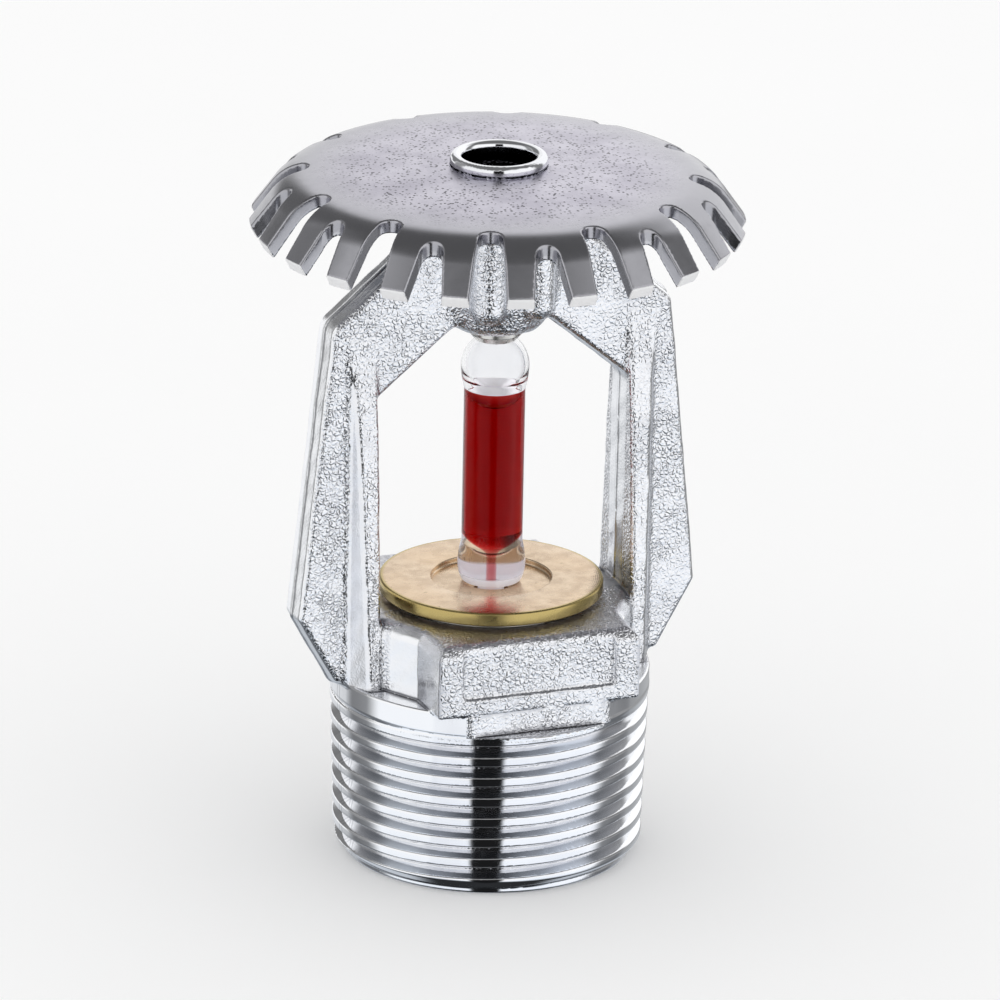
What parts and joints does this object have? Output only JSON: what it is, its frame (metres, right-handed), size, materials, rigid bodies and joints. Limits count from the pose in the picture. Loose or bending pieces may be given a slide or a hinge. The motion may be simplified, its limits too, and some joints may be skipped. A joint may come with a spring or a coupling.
{
  "type": "fire sprinkler head",
  "caption": "Upright fire sprinkler head: threaded frame, toothed domed deflector, red glass bulb and brass valve cap that a heated bulb releases.",
  "frame": {"origin": "centre of the inlet face, where water enters the threaded nipple", "axes": "+Z along the waterway from the inlet to the deflector, +X from the axis to one frame arm, +Y square to one wrench flat"},
  "size_m": [0.0412, 0.0412, 0.0608],
  "materials": {
    "chromed_frame": "bright chrome plate over a cast and turned brass body",
    "deflector_sheet": "satin grey chrome plate, speckled",
    "screw_steel": "plain steel",
    "clear_glass": "clear glass",
    "red_liquid": "clear crimson liquid",
    "brass": "turned brass, spotted",
    "spring_nickel": "nickel alloy strip",
    "ptfe": "white PTFE film"
  },
  "bodies": {
    "frame": {"frame": "chromed_frame", "deflector": "deflector_sheet", "disc_spring": "spring_nickel", "seal_film_upper": "ptfe", "seal_film_lower": "ptfe"},
    "bulb": {"bulb_glass": "clear_glass", "bulb_liquid": "red_liquid"},
    "screw": {"load_screw": "screw_steel"},
    "cap": {"valve_cap": "brass"}
  },
  "joints": [
    {"name": "bulb_lift", "type": "slide", "parent": "frame", "child": "bulb", "axis": [0, 0, 1], "range_m": [0, 0.0005]},
    {"name": "screw_turn", "type": "hinge", "parent": "bulb", "child": "screw", "pos_m": [0, 0, 0.05], "axis": [0, 0, 1], "range_deg": [0, 180]},
    {"name": "cap_lift", "type": "slide", "parent": "frame", "child": "cap", "axis": [0, 0, 1], "range_m": [0, 0.0005], "deforming": ["disc_spring", "seal_film_upper", "seal_film_lower"]}
  ],
  "couplings": [
    {"joint": "screw_turn", "follows": "bulb_lift", "rad_per_m": 6283.2},
    {"joint": "cap_lift", "follows": "bulb_lift", "ratio": 1}
  ]
}
